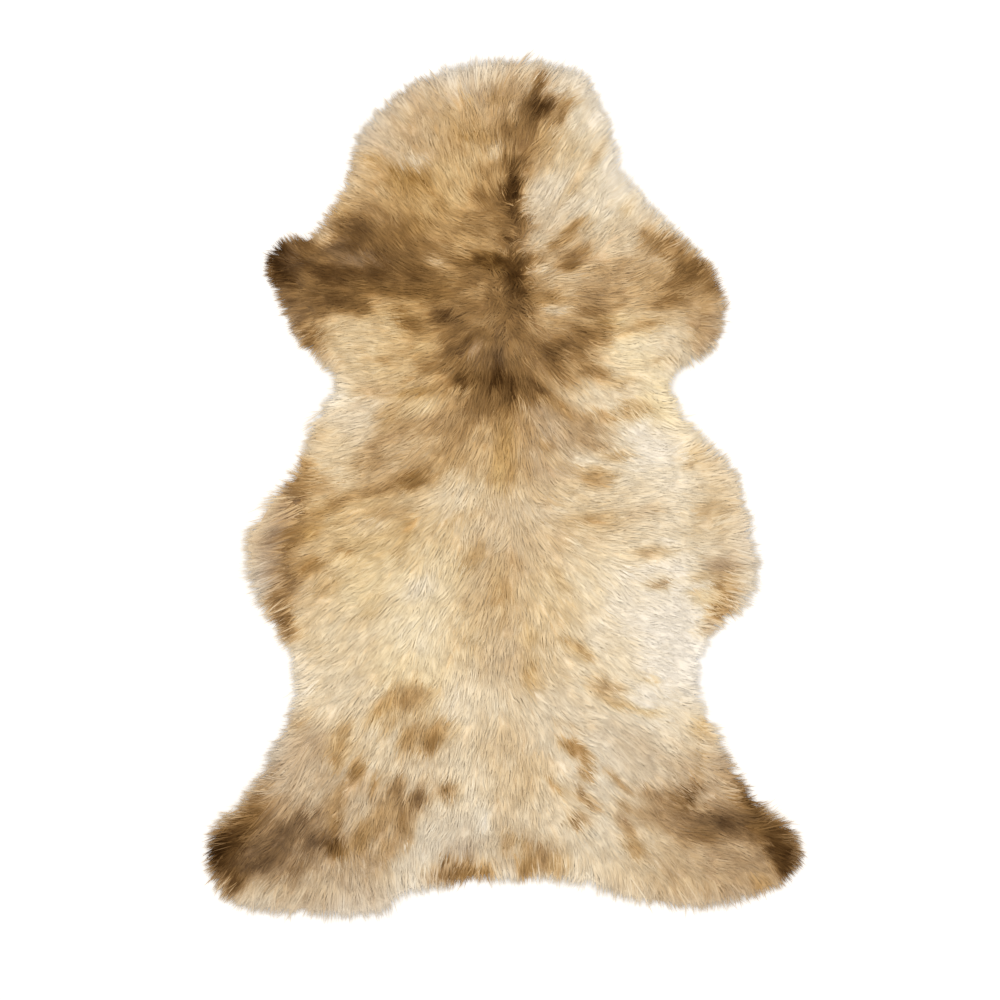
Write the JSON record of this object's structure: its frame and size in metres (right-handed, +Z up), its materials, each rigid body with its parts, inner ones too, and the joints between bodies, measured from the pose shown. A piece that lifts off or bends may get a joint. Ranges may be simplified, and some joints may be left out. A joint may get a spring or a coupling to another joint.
{
  "type": "sheepskin rug",
  "caption": "Whole natural sheepskin rug lying flat, wool side up: rounded neck, short forelegs, full flanks and flared hind legs, with deep soft wool over a thin tanned skin.",
  "frame": {"origin": "on the floor, under the middle of the rug's length and width", "axes": "+Y runs along the spine to the neck, +X to the right seen from above with the neck at the top, +Z up through the wool"},
  "size_m": [0.6866, 0.9962, 0.0502],
  "materials": {
    "wool": "matte",
    "suede": "matte"
  },
  "bodies": {
    "root": {"sheepskin": "wool"}
  },
  "joints": []
}
